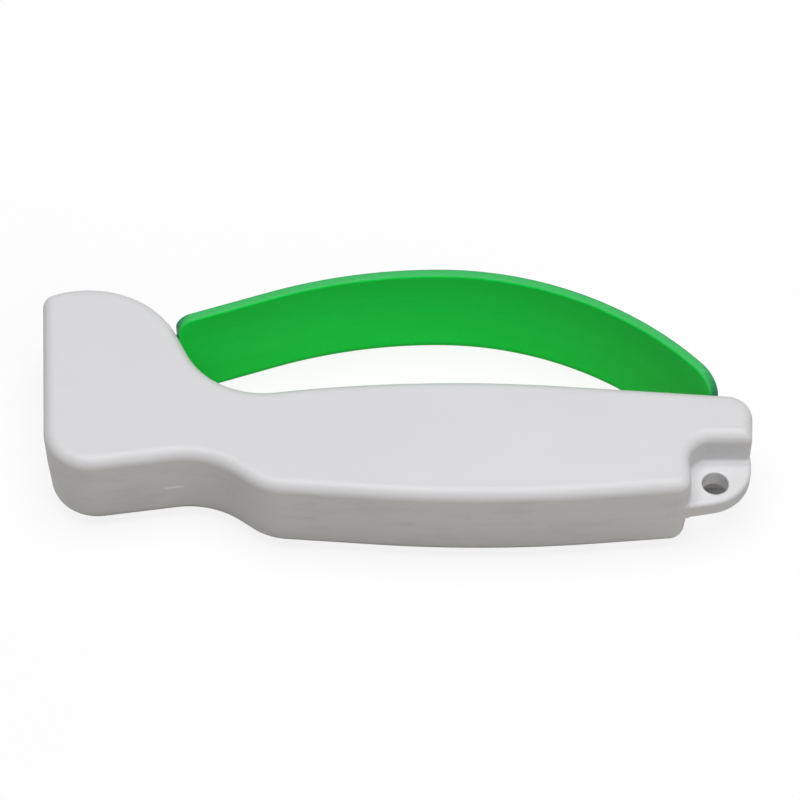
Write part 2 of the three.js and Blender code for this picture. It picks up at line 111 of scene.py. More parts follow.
# What joins the shells: a tongue in a groove along the seam, posts with pegs, and ribs between the posts
TONGUE_HIGH = 1.0
TONGUE_THICK = 1.2
GROOVE_UNDER = 0.5
POST_RADIUS = 3.2
POST_SPACING = 24.0
POSTS = [(-26.75 + POST_SPACING * k, -11.175) for k in range(4)]
PEG_RADIUS = 1.5
PEG_HALF = 3.0
RIB_HALF = 0.75
RIB_REACH = 70.0
RIBS = [x + POST_SPACING / 2 for x, _ in POSTS[:-1]]

# Lanyard tab
TAB_HALF = 2.0
TAB_RIM = 0.8
TAB_COVE = 0.7
TAB_ROOT_X = 52.75
TAB_LEDGE = 0.3
COVE_SUNK = 0.5
COVE_LAP = 0.3
COVE_CLEAR = 0.1
HOLE = (62.45, -19.2)
HOLE_RADIUS = 2.55
HOLE_EASE = 0.35
TAB = np.array([
    (TAB_ROOT_X, -25.6, LEAST_RADIUS),
    (ARM_X, -22.65, 9.3),
    (ARM_X + TAB_LEDGE, RECESS_Y + TAB_RIM, LEAST_RADIUS),
    (TAB_ROOT_X, RECESS_Y + TAB_RIM, LEAST_RADIUS),
])

# Finger guard: outer line from the tail over the arch to the head
GUARD_HALF = 11.25
GUARD_THICK = 2.0
GUARD_SIDES = 40
GUARD_OUTER_EDGE = 0.4
GUARD_INNER_EDGE = 0.6
GUARD_BACK_EDGE = 0.2
GUARD_HEAD_CORNER = 3.0
GUARD_TAIL_CORNER = 5.0
GUARD_TAIL_STUB = 1.2
GUARD_HEAD_STUB = 0.5
GUARD_STUB_HALF = 6.0
GUARD_OVERRUN = 4.0
GUARD_LINE = np.array([
    (63.55, -0.4, 0.0),
    (43.15, 27.1, 68.5),
    (-8.25, 27.6, 102.0),
    (-43.45, 15.25, 0.0),
])
TENON_LENGTH = 6.0
TENON_HALF = 5.0
BEAD = 1.7

# Blade cartridge, in its own frame: X into the head, Y towards the crown, from the foot of the V
FOOT_Y = 13.0
FOOT = np.array([NOSE_X + math.tan(END_LEAN) * (NOSE_Y - FOOT_Y), FOOT_Y, 0.0])
HALF_V = math.radians(22)
COVER = 2.4
COVER_LOW = -17.0
COVER_HIGH = 7.0
COVER_HALF = 7.0
COVER_CORNER = 2.0
COVER_EASE = 0.25
PAD_EASE = 0.05
BLADE = (2.0, 11.0, 4.0)
BLADE_TAIL = 4.0
BLADE_CORNER = 0.2
BLADE_EASE = 0.1
BLADE_REVEAL = 1.5
BLADE_FRONT = COVER + GAP
BLADE_REAR = BLADE_FRONT + BLADE[0] + GAP
HOLDER_BACK = 2.4
HOLDER_DEPTH = BLADE_REAR + BLADE[0] + GAP + HOLDER_BACK
V_FOOT = BLADE_REVEAL / math.cos(HALF_V)

# Pocket of the cartridge: its wall, and pairs of extra width and depth at its eased mouth
POCKET_WALL = 1.8
POCKET_MOUTH = [(0.4, -BEYOND), (0.4, -0.1), (0.12, 0.06), (0.0, 0.35), (0.0, HOLDER_DEPTH + GAP)]

# Slot for the tool's edge, with the solid jaws around it
SLOT_LEAN = math.radians(14)
SLOT_HALF = 3.0
SLOT_NECK = 5.0
SLOT_FLARE = math.tan(math.radians(15))
SLOT_FLOOR = 10.5
JAW_FLOOR = 3.0
JAW_HIGH = 30.0
JAW_REACH = 150.0

# Cover screw and nut
SCREW_Y = -11.0
SCREW_LENGTH = 15.0
SHANK = 1.5
SCREW_HEAD = 2.8
SCREW_RIM = 0.3
SCREW_EASE = 0.12
SCREW_NECK = SCREW_RIM + SCREW_HEAD - SHANK
PITCH = 0.5
THREAD = 0.28
THREAD_FLANK = 2.5
THREAD_START = 0.6
THREAD_FADE = 0.5
THREAD_ROWS = 300
DRIVE_DEPTH = 1.3
DRIVE_ABOVE = 0.5
DRIVE_HALF_LONG = (1.6, 0.75)
DRIVE_HALF_WIDE = (0.42, 0.3)
NUT_SIDE = 5.5
NUT_THICK = 2.4
NUT_SHELF = 1.4
NUT_FRONT = HOLDER_DEPTH + GAP + NUT_SHELF


def unit(vector):
    """The vector at length 1."""
    return vector / np.linalg.norm(vector, axis=-1, keepdims=True)


def left_of(vector):
    """The plan vector turned a quarter to its left."""
    return np.stack((-vector[..., 1], vector[..., 0]), -1)


def cross(a, b):
    """Signed area between two plan vectors."""
    return a[..., 0] * b[..., 1] - a[..., 1] * b[..., 0]


def quarter(points):
    """Angles of a quarter turn in equal steps, with both ends."""
    return np.linspace(0, math.pi / 2, points)


def circle(sides):
    """Angles of a whole turn in equal steps, without its end."""
    return np.linspace(0, 2 * math.pi, sides, endpoint=False)


def rectangle(low, high):
    """Corners of a rectangle in plan, anticlockwise."""
    return np.array([(low[0], low[1]), (high[0], low[1]), (high[0], high[1]), (low[0], high[1])], float)


def rounded(low, high, radius):
    """Rectangle with a rounding radius at its corners."""
    return np.c_[rectangle(low, high), np.full(4, radius)]


def corner_arcs(corners, inset=0.0):
    """Points of a polygon's rounded corners, moved inwards by inset, and the corner that owns each point.

    A corner's arc centre lies on its bisector, where a circle touches both moved edges. The circle has the
    corner's radius, less the inset on an outward corner and plus the inset on a hollow one. The arc's points
    are the first edge's normal turned by equal shares of the corner's turn.
    """
    point, radius = corners[:, :2], corners[:, 2]
    ahead = np.roll(point, -1, 0) - point
    length = np.linalg.norm(ahead, axis=1)
    after = unit(ahead)
    before = np.roll(after, 1, 0)
    turn = np.arctan2(cross(before, after), (before * after).sum(1))
    run = radius * np.tan(np.abs(turn) / 2) + LEAST_RUN
    share = length / (run + np.roll(run, -1))
    fitted = radius * np.minimum(1, np.minimum(share, np.roll(share, 1)))
    side = np.sign(turn)
    moved = np.maximum(fitted - side * inset, LEAST_RADIUS)
    normal = left_of(before)
    bisector = unit(normal + left_of(after))
    centre = point + bisector * ((inset + side * moved) / np.cos(turn / 2))[:, None]
    widest = 2 * np.arccos(1 - CHORD / np.maximum(fitted, 2 * CHORD))
    steps = np.maximum(1, np.ceil(np.abs(turn) / widest)).astype(int)
    owner = np.repeat(np.arange(len(corners)), steps + 1)
    first = np.cumsum(steps + 1) - steps - 1
    angle = (turn[owner] * (np.arange(len(owner)) - first[owner]) / steps[owner])[:, None]
    spoke = normal[owner] * np.cos(angle) + left_of(normal)[owner] * np.sin(angle)
    return centre[owner] - (side * moved)[owner, None] * spoke, owner


def carried(ring, heights):
    """Rows of one plan ring at each height. The last axis is plan x, plan y and height."""
    return np.stack([np.c_[ring, np.full(len(ring), height)] for height in heights])


def stacked(corners, profile):
    """Rows of a plan carried up a profile: each inset and height of the profile gives the plan's rounded
    outline moved inwards by the inset, at that height."""
    rings = [corner_arcs(corners, inset)[0] for inset, _ in profile]
    heights = [np.full((len(ring), 1), height) for ring, (_, height) in zip(rings, profile)]
    return np.concatenate((np.stack(rings), np.stack(heights)), -1)


def turned(middle, radius, heights, sides=SIDES):
    """Rows of a body turned about a line along Z: at each height a circle, of one radius or of its own."""
    angle = circle(sides)
    spread = np.broadcast_to(radius, len(heights))[:, None]
    height = np.broadcast_to(np.array(heights, float)[:, None], (len(heights), sides))
    return np.stack((middle[0] + spread * np.cos(angle), middle[1] + spread * np.sin(angle), height), -1)


def block(low, high):
    """Rows of a box: its rectangle at two heights."""
    return carried(rectangle(low, high), (low[2], high[2]))


def lathe(along, radius):
    """Rows of a body turned about X: at each distance, a ring whose radius may change with its angle."""
    angle = circle(radius.shape[1])
    distance = np.broadcast_to(along[:, None], radius.shape)
    return np.stack((distance, radius * np.cos(angle), radius * np.sin(angle)), -1)


def round_edge(radius, height, points):
    """Insets and heights up a quarter round that ends at a height: the inset is the radius less its cosine,
    and the height follows its sine."""
    angle = quarter(points)
    return np.c_[radius - radius * np.cos(angle), height - radius + radius * np.sin(angle)]


def rim_profile(height, rim):
    """Insets and heights of half a moulding: a small chamfer at the seam, a straight wall and a rounded rim.
    All of it is drawn in by a hair, so that finer arcs stay inside the CAD outline."""
    arc = round_edge(rim, height, RIM_POINTS)
    return np.r_[[(SEAM, 0.0), (0.0, SEAM)], arc, [(rim + RIM_FLAT, height)]] + (DRAWN_IN, 0.0)


def other_way_up(profile):
    """The same profile below the middle plane, with its rows still rising."""
    return profile[::-1] * (1, -1)


def facing(way, profile):
    """The profile on the front for a way of 1 and on the back for -1."""
    return profile if way > 0 else other_way_up(profile)


def swung(points, angle, about="Z"):
    """Points turned about an axis through the origin."""
    return points @ np.array(Matrix.Rotation(angle, 3, about)).T


def in_cartridge(points):
    """Points of the cartridge's frame on the drawing: leaned with the head's end face, from the V's foot."""
    return swung(points, END_LEAN) + FOOT


def through_head(rows):
    """Rows drawn on the cartridge's Y and Z, with height along its X, on the drawing."""
    return in_cartridge(np.roll(rows, 1, -1))


def on_screw(points):
    """Points drawn about the cover screw's line, on the drawing."""
    return in_cartridge(points + (0, SCREW_Y, 0))


def skin(name, rows, ring=False):
    """Mesh over rows of points that close round each row. The ends are flat faces, unless the rows go round
    too, as on a ring: then the last row joins the first."""
    count, around = rows.shape[:2]
    last = (count - 1) * around
    here = np.arange(count if ring else count - 1)[:, None] * around
    start = np.arange(around)
    stop = np.roll(start, -1)
    there = (here + around) % (count * around)
    quads = np.stack((here + start, here + stop, there + stop, there + start), -1)
    ends = [] if ring else [start[::-1].tolist(), (start + last).tolist()]
    mesh = bpy.data.meshes.new(name)
    mesh.from_pydata((rows.reshape(-1, 3) + LAID_DOWN) * MM, [], quads.reshape(-1, 4).tolist() + ends)
    piece = bpy.data.objects.new(name, mesh)
    scene.collection.objects.link(piece)
    return piece


def worked(piece, *steps):
    """The piece after it is joined with, cut by or kept within each tool in turn."""
    for operation, tool in steps:
        step = piece.modifiers.new(operation, "BOOLEAN")
        step.operation = operation
        step.solver = "MANIFOLD"
        step.object = tool
    graph = bpy.context.evaluated_depsgraph_get()
    mesh = bpy.data.meshes.new_from_object(piece.evaluated_get(graph))
    piece.modifiers.clear()
    piece.data = mesh
    return piece


def cuts(*tools):
    """Steps that cut each tool away."""
    return [("DIFFERENCE", tool) for tool in tools]


def joins(*tools):
    """Steps that join each tool on."""
    return [("UNION", tool) for tool in tools]


def discard(*tools):
    """Removes tools that have done their work."""
    for tool in tools:
        bpy.data.objects.remove(tool)


def smoothed(piece, angle=SMOOTH):
    """Smooth shading up to an angle between faces, with normals that lean to the larger faces."""
    piece.data.shade_smooth()
    piece.data.set_sharp_from_angle(angle=math.radians(angle))
    weight = piece.modifiers.new("even normals", "WEIGHTED_NORMAL")
    weight.keep_sharp = True
    return piece


# Finger guard
def landing(start, along):
    """First meeting of a straight line with the body's outline: the point, its distance and the way inwards.

    On each edge of the outline the crossing's reach along the line and share of the edge come from cross
    products, and the nearest one counts.
    """
    ring = corner_arcs(BODY)[0]
    edge = np.roll(ring, -1, 0) - ring
    steep = cross(along, edge)
    steep = np.where(steep == 0, np.inf, steep)
    gap = ring - start
    reach = cross(gap, edge) / steep
    share = cross(gap, along) / steep
    hits = np.flatnonzero((share >= 0) & (share <= 1) & (reach > 0))
    hit = hits[np.argmin(reach[hits])]
    return start + along * reach[hit], reach[hit], left_of(unit(edge[hit]))


def guard_root(tip, knee, side):
    """End of the guard: the line along the middle of the strip's straight run, followed to the body."""
    along = unit(GUARD_LINE[tip, :2] - GUARD_LINE[knee, :2])
    start = GUARD_LINE[knee, :2] + left_of(along) * side * GUARD_THICK / 2
    point, reach, inward = landing(start, along)
    return {"point": point, "inward": inward, "tip": GUARD_LINE[knee, :2] + along * reach}


TAIL_ROOT = guard_root(0, 1, -1)
HEAD_ROOT = guard_root(3, 2, 1)


def rounded_off(distance, radius):
    """Loss of half width at a distance from a rounded end: the radius less the height of a quarter circle."""
    into = np.clip(radius - distance, 0, radius)
    return radius - np.sqrt(radius ** 2 - into ** 2)


def guard_side(line, inset):
    """One face of the strip in plan: its straight ends, drawn on into the body, and the two arcs between."""
    arcs, owner = corner_arcs(line, inset)
    point = line[:, :2]
    tail_way, head_way = unit(point[1] - point[0]), unit(point[3] - point[2])
    tail = point[0] + left_of(tail_way) * inset
    head = point[3] + left_of(head_way) * inset
    arch = arcs[(owner == 1) | (owner == 2)]
    return np.vstack((tail - tail_way * GUARD_OVERRUN, tail, arch, head, head + head_way * GUARD_OVERRUN))


def resampled(side, walked, mark):
    """Points of a guard face at the marked distances."""
    return np.stack([np.interp(mark, walked, axis) for axis in side.T], -1)


def guard_rows():
    """Rows of the guard: a rounded rectangle carried along the arch.

    The outer and inner face are walked together by the distance along the outer one. Near each end the half
    width falls off as a quarter circle, which leaves a narrow stub. A section's point lies a share of the
    thickness from the outer face to the inner one, at a share of the half width. In front the inner edge is
    rounded further than the outer one, and the back edges are nearly sharp.
    """
    line = GUARD_LINE.copy()
    line[0, :2], line[3, :2] = TAIL_ROOT["tip"], HEAD_ROOT["tip"]
    outer, inner = guard_side(line, DRAWN_IN), guard_side(line, GUARD_THICK)
    walked = np.r_[0, np.cumsum(np.linalg.norm(np.diff(outer, axis=0), axis=1))] - GUARD_OVERRUN
    tail_end = GUARD_TAIL_STUB
    head_end = walked[-1] - GUARD_OVERRUN - GUARD_HEAD_STUB
    share = 1 - np.cos(quarter(GUARD_END_POINTS))
    ends = np.r_[tail_end + GUARD_TAIL_CORNER * share, head_end - GUARD_HEAD_CORNER * share]
    mark = np.unique(np.r_[walked, ends, tail_end - 2 * CHORD, head_end + 2 * CHORD])
    mark = mark[np.diff(mark, prepend=-np.inf) > CHORD]
    outer, inner = resampled(outer, walked, mark), resampled(inner, walked, mark)
    tail_loss = rounded_off(mark - tail_end, GUARD_TAIL_CORNER)
    head_loss = rounded_off(head_end - mark, GUARD_HEAD_CORNER)
    half = GUARD_HALF - np.maximum(tail_loss, head_loss)
    half[(mark < tail_end - CHORD) | (mark > head_end + CHORD)] = GUARD_STUB_HALF
    angle = circle(GUARD_SIDES) + math.pi / GUARD_SIDES
    round_depth, round_width = np.cos(angle), np.sin(angle)
    edge = np.where(round_depth > 0, GUARD_INNER_EDGE, GUARD_OUTER_EDGE)
    edge = np.where(round_width < 0, GUARD_BACK_EDGE, edge)
    depth = (np.sign(round_depth) * (GUARD_THICK / 2 - edge) + edge * round_depth) / GUARD_THICK + 0.5
    wide = np.sign(round_width) * (half[:, None] - edge) + edge * round_width
    flat = outer[:, None] + (inner - outer)[:, None] * depth[:, None]
    return np.concatenate((flat, wide[..., None]), -1)[:, ::-1]


def tenon_rows(root, grow):
    """Rows of a guard end's tongue, a box along the body's inward normal, and of the bead across its end."""
    inward, side = root["inward"], left_of(root["inward"])
    bow = np.sign(-(side * root["point"]).sum())
    half = GUARD_THICK / 2 + grow
    share = rectangle((-GUARD_THICK / 2, -half), (TENON_LENGTH + grow, half))
    ring = root["point"] + share[:, :1] * inward + share[:, 1:] * side
    ends = (-TENON_HALF - grow, TENON_HALF + grow)
    bead = root["point"] + inward * (TENON_LENGTH - BEAD) + side * bow * (BEAD - GUARD_THICK / 2)
    return carried(ring, ends), turned(bead, BEAD + grow, ends)


def tenon(name, root, grow):
    """Tongue and bead of a guard end in one, grown all round."""
    tongue, bead = (skin(name, rows) for rows in tenon_rows(root, grow))
    worked(tongue, *joins(bead))
    discard(bead)
    return tongue


def finger_guard():
    """The strip, cut clear of the body, with a tenon at each end."""
    guard = skin("guard_strip", guard_rows())
    room = skin("body_room", stacked(BODY, [(-GAP, -2 * GUARD_HALF), (-GAP, 2 * GUARD_HALF)]))
    tails = [tenon("guard_tenon", root, 0.0) for root in (TAIL_ROOT, HEAD_ROOT)]
    worked(guard, *cuts(room), *joins(*tails))
    discard(room, *tails)
    return smoothed(guard)


# Blade cartridge
PLATE = rounded((COVER_LOW, -COVER_HALF), (COVER_HIGH, COVER_HALF), COVER_CORNER)


def blade_points(points, lean, front):
    """A blade's own points on the drawing: leaned to its side of the V, its inner edge on the V's flank."""
    edge = np.array([math.cos(HALF_V), lean * math.sin(HALF_V)])
    outward = np.array([-math.sin(HALF_V), lean * math.cos(HALF_V)])
    middle = edge * (BLADE[1] / 2 - BLADE_TAIL) + outward * BLADE[2] / 2
    return in_cartridge(swung(points, lean * HALF_V, "X") + (front + BLADE[0] / 2, *middle))


def blade_room(lean, front, grow, reach):
    """Rows of a blade's room: the blade's box with a gap around it, open towards the end face by reach."""
    size = np.array(BLADE) / 2 + grow
    return blade_points(block(-size - (reach, 0, 0), size), lean, front)


def carbide_blade(name, lean, front):
    """Ground insert: a rectangle carried through its thickness, its corners and arrises just broken."""
    thick, long, wide = np.array(BLADE) / 2
    arris = thick - BLADE_EASE
    profile = [(BLADE_EASE, -thick), (0.0, -arris), (0.0, arris), (BLADE_EASE, thick)]
    rows = stacked(rounded((-long, -wide), (long, wide), BLADE_CORNER), profile)
    return smoothed(skin(name, blade_points(np.roll(rows, 1, -1), lean, front)), BLADE_SMOOTH)


def v_notch():
    """The V through cover and holder: a trapezium that widens from its foot at the blades' angle."""
    foot, head = -V_FOOT / math.tan(HALF_V) / 2, COVER_HIGH + BEYOND
    low, high = V_FOOT + np.array([foot, head]) * math.tan(HALF_V)
    ring = np.array([(foot, -low), (head, -high), (head, high), (foot, low)])
    return skin("v_notch", through_head(carried(ring, (-BEYOND, BEYOND))))


def plate(name, low, high, ease=COVER_EASE):
    """Rounded plate across the end of the head, its two rims chamfered by ease."""
    profile = [(ease, low), (0.0, low + ease), (0.0, high - ease), (ease, high)]
    return skin(name, through_head(stacked(PLATE, profile)))


def round_bore(name, stations):
    """Body turned about the cover screw's line, through pairs of distance and radius."""
    along, radius = np.array(stations, float).T
    return skin(name, on_screw(lathe(along, np.repeat(radius[:, None], SIDES, 1))))


def blade_holder():
    """Block with a seat for each blade, the V and the screw's hole."""
    holder = plate("holder_block", BLADE_FRONT, HOLDER_DEPTH)
    tools = [
        skin("left_seat", blade_room(-1, BLADE_REAR, GAP, BEYOND)),
        skin("right_seat", blade_room(1, BLADE_FRONT, GAP, BEYOND)),
        v_notch(),
        round_bore("screw_room", [(-BEYOND, SHANK + GAP), (BEYOND, SHANK + GAP)]),
    ]
    worked(holder, *cuts(*tools))
    discard(*tools)
    return smoothed(holder)


def blade_cover():
    """Plate over the blades, with a pad that reaches the left one, the V and a countersunk hole."""
    cover = plate("cover_plate", 0.0, COVER)
    pad = skin("cover_pad", blade_room(-1, BLADE_REAR, -GAP, BEYOND))
    pad_room = plate("pad_room", COVER / 2, BLADE_REAR - GAP, PAD_EASE)
    worked(pad, ("INTERSECT", pad_room))
    tools = [
        skin("right_seat", blade_room(1, BLADE_FRONT, GAP, 0.0)),
        v_notch(),
        round_bore("countersink", [
            (-BEYOND, SCREW_HEAD + GAP), (SCREW_RIM + GAP, SCREW_HEAD + GAP),
            (SCREW_NECK + GAP, SHANK + GAP), (BEYOND, SHANK + GAP),
        ]),
    ]
    worked(cover, *joins(pad), *cuts(*tools))
    discard(pad, pad_room, *tools)
    return smoothed(cover)


def drive_arm(turn):
    """One arm of the cross in the screw's head, which tapers from the face to its foot."""
    depth = np.array([-DRIVE_ABOVE, 0.0, DRIVE_DEPTH])
    tapers = (DRIVE_HALF_LONG, DRIVE_HALF_WIDE)
    half = np.stack([np.interp(depth, [0, DRIVE_DEPTH], taper) for taper in tapers], -1)
    flat = rectangle((-1, -1), (1, 1)) * half[:, None]
    rows = np.concatenate((flat, np.broadcast_to(depth[:, None, None], (3, 4, 1))), -1)
    return skin("drive_arm", on_screw(swung(np.roll(rows, 1, -1), turn, "X")))


def cover_screw():
    """Countersunk screw: a turned profile whose shank falls in from its full radius by the thread's depth,
    times the distance of the thread's phase from its crest. The phase is the distance along in pitches less
    the angle in turns, and the thread fades in below the neck."""
    along = np.r_[0.0, SCREW_EASE, SCREW_RIM, np.linspace(SCREW_NECK, SCREW_LENGTH, THREAD_ROWS)]
    stations = [0.0, SCREW_EASE, SCREW_RIM, SCREW_NECK, SCREW_LENGTH - SHANK / 2, SCREW_LENGTH]
    radius = [SCREW_HEAD - SCREW_EASE, SCREW_HEAD, SCREW_HEAD, SHANK, SHANK, SHANK / 2]
    base = np.interp(along, stations, radius)[:, None]
    phase = (along[:, None] / PITCH - np.linspace(0, 1, SIDES, endpoint=False)) % 1
    valley = np.clip(THREAD_FLANK * (0.5 - np.abs(phase - 0.5)), 0, 1)
    running = np.clip((along - SCREW_NECK - THREAD_START) / THREAD_FADE, 0, 1)[:, None]
    screw = skin("screw", on_screw(lathe(along, base - THREAD * running * valley)))
    arms = [drive_arm(0), drive_arm(math.pi / 2)]
    worked(screw, *cuts(*arms))
    discard(*arms)
    return smoothed(screw, SCREW_SMOOTH)


# Shells
def along_slot(rows, floor):
    """Rows drawn along the tool's slot, on the drawing: leaned with it, from a floor at the end face."""
    return swung(rows, SLOT_LEAN) + (FOOT[0], floor, 0)


def tool_slot():
    """Slot for the tool's edge: a channel with a flared mouth, carried along its rising floor."""
    high = CROWN_Y + BEYOND
    mouth = SLOT_HALF + (high - SLOT_NECK) * SLOT_FLARE
    ring = np.array([
        (0, -SLOT_HALF), (SLOT_NECK, -SLOT_HALF), (high, -mouth),
        (high, mouth), (SLOT_NECK, SLOT_HALF), (0, SLOT_HALF),
    ])
    rows = np.roll(carried(ring, (-BEYOND, NECK_X - NOSE_X + BEYOND)), 1, -1)
    return skin("tool_slot", along_slot(rows, SLOT_FLOOR))


def jaws():
    """The solid head round the tool's slot: a box along the slot's floor, from just below it."""
    box = block((-JAW_REACH, 0, -BEYOND), (JAW_REACH, JAW_HIGH, BEYOND))
    return skin("jaws", along_slot(box, SLOT_FLOOR - JAW_FLOOR))


def hollow():
    """Inside of both shells: the body's plan less its wall, without what stands in it. That is the jaws, the
    cartridge's pocket, the nut's boss, the guard's sockets, the posts and the cross ribs."""
    arc = round_edge(HOLLOW_EDGE, HALF_THICK - WALL, HOLLOW_POINTS) + (WALL, 0)
    room = skin("hollow", stacked(BODY, np.r_[other_way_up(arc), arc]))
    boss = NUT_SIDE / 2 + POCKET_WALL
    rows = [
        in_cartridge(block((0, COVER_LOW - POCKET_WALL, -BEYOND),
                           (HOLDER_DEPTH + POCKET_WALL, COVER_HIGH + POCKET_WALL, BEYOND))),
        on_screw(block((0, -boss, -BEYOND), (SCREW_LENGTH + POCKET_WALL, boss, BEYOND))),
    ]
    rows += [turned(post, POST_RADIUS, (-BEYOND, BEYOND)) for post in POSTS]
    rows += [block((x - RIB_HALF, -RIB_REACH, -BEYOND), (x + RIB_HALF, RIB_REACH, BEYOND)) for x in RIBS]
    stays = [jaws(), *(skin("stay", row) for row in rows)]
    stays += [tenon("socket", root, POCKET_WALL) for root in (TAIL_ROOT, HEAD_ROOT)]
    worked(room, *cuts(*stays))
    discard(*stays)
    return room


def openings():
    """Everything that opens the shells: lanyard hole, tool slot, cartridge pocket, screw, nut and tenons."""
    flare = round_edge(HOLE_EASE, TAB_HALF, HOLE_POINTS)
    hole = np.r_[[(HOLE_EASE, -BEYOND)], other_way_up(flare), flare, [(HOLE_EASE, BEYOND)]]
    mouth = [(-GAP - wider, depth) for wider, depth in POCKET_MOUTH]
    nut = np.array([NUT_THICK, NUT_SIDE, NUT_SIDE]) / 2 + GAP
    nut_middle = np.array([NUT_FRONT + NUT_THICK / 2, 0, 0])
    return [
        skin("lanyard_hole", turned(HOLE, HOLE_RADIUS + hole[:, 0], hole[:, 1], HOLE_SIDES)),
        tool_slot(),
        skin("cartridge_pocket", through_head(stacked(PLATE, mouth))),
        round_bore("screw_hole", [(-BEYOND, SHANK + GAP), (SCREW_LENGTH + GAP, SHANK + GAP)]),
        skin("nut_room", on_screw(block(nut_middle - nut, nut_middle + nut))),
        tenon("tenon_room", TAIL_ROOT, GAP),
        tenon("tenon_room", HEAD_ROOT, GAP),
    ]


def seam_ring(low, high, outer, inner):
    """Ring that follows the body's outline between two insets and two heights, and stops at the jaws."""
    profile = [(outer, low), (outer, high), (inner, high), (inner, low)]
    ring = skin("seam_ring", stacked(BODY, profile), ring=True)
    head = jaws()
    worked(ring, *cuts(head))
    discard(head)
    return ring


def tab_cove(way):
    """Hollow fillet where the tab leaves the tail: the body's plan spreads by the cove's radius less the sine
    as it comes down to the tab. It is kept within the tab's plan, which draws in as it rises to carry on the
    tab's rim."""
    angle = quarter(COVE_POINTS)
    arc = np.c_[TAB_COVE * (np.sin(angle) - 1), TAB_HALF + TAB_COVE * (1 - np.cos(angle))]
    profile = np.r_[[(-TAB_COVE, TAB_HALF - COVE_SUNK)], arc, [(COVE_LAP, TAB_HALF + TAB_COVE)]]
    cove = skin("tab_cove", stacked(BODY, facing(way, profile)))
    draw = DRAWN_IN + (TAB_COVE + TAB_RIM) * (1 - np.cos(angle))
    rise = TAB_HALF - TAB_RIM + (TAB_COVE + TAB_RIM + COVE_CLEAR) * np.sin(angle)
    room = np.r_[[(DRAWN_IN, COVE_SUNK)], np.c_[draw, rise]]
    plan = skin("tab_room", stacked(TAB, facing(way, room)))
    worked(cove, ("INTERSECT", plan))
    discard(plan)
    return cove


def drawn_back(rows):
    """Rows of the rear half with its ends drafted: x comes in by its share of an end's draft, in proportion
    to the depth behind the seam."""
    depth = np.clip(-rows[..., 2] / HALF_THICK, 0, 1)
    share = np.interp(rows[..., 0], [NOSE_X, 0, GRIP_END_X], [NOSE_DRAFT, 0, -GRIP_DRAFT])
    drafted = rows.copy()
    drafted[..., 0] += share * depth
    return drafted


def half_shell(name, way, inside, opened, joined=(), sunk=()):
    """One half of the body with its half of the tab, hollowed, opened, and finished at the seam."""
    shell = skin(name, drawn_back(stacked(BODY, facing(way, rim_profile(HALF_THICK, RIM_RADIUS)))))
    ear = skin("tab", stacked(TAB, facing(way, rim_profile(TAB_HALF, TAB_RIM))))
    cove = tab_cove(way)
    worked(shell, *joins(ear, cove), *cuts(inside), *joins(*joined), *cuts(*opened, *sunk))
    discard(ear, cove)
    return smoothed(shell)


def body_shells():
    """Both halves: the rear one has the tongue and the pegs, and the front one the groove and the holes."""
    inside, opened = hollow(), openings()
    edge = WALL - TONGUE_THICK
    hole_half = PEG_HALF + GAP
    tongue = seam_ring(-TONGUE_HIGH, TONGUE_HIGH, edge, WALL)
    pegs = [skin("peg", turned(post, PEG_RADIUS, (-PEG_HALF, PEG_HALF))) for post in POSTS]
    groove = seam_ring(-GROOVE_UNDER, TONGUE_HIGH + GAP, edge - GAP, WALL + GAP)
    holes = [skin("peg_hole", turned(post, PEG_RADIUS + GAP, (-hole_half, hole_half))) for post in POSTS]
    front = half_shell("shell_front", 1, inside, opened, sunk=[groove, *holes])
    rear = half_shell("shell_rear", -1, inside, opened, joined=[tongue, *pegs])
    discard(inside, *opened, tongue, groove, *pegs, *holes)
    return front, rear


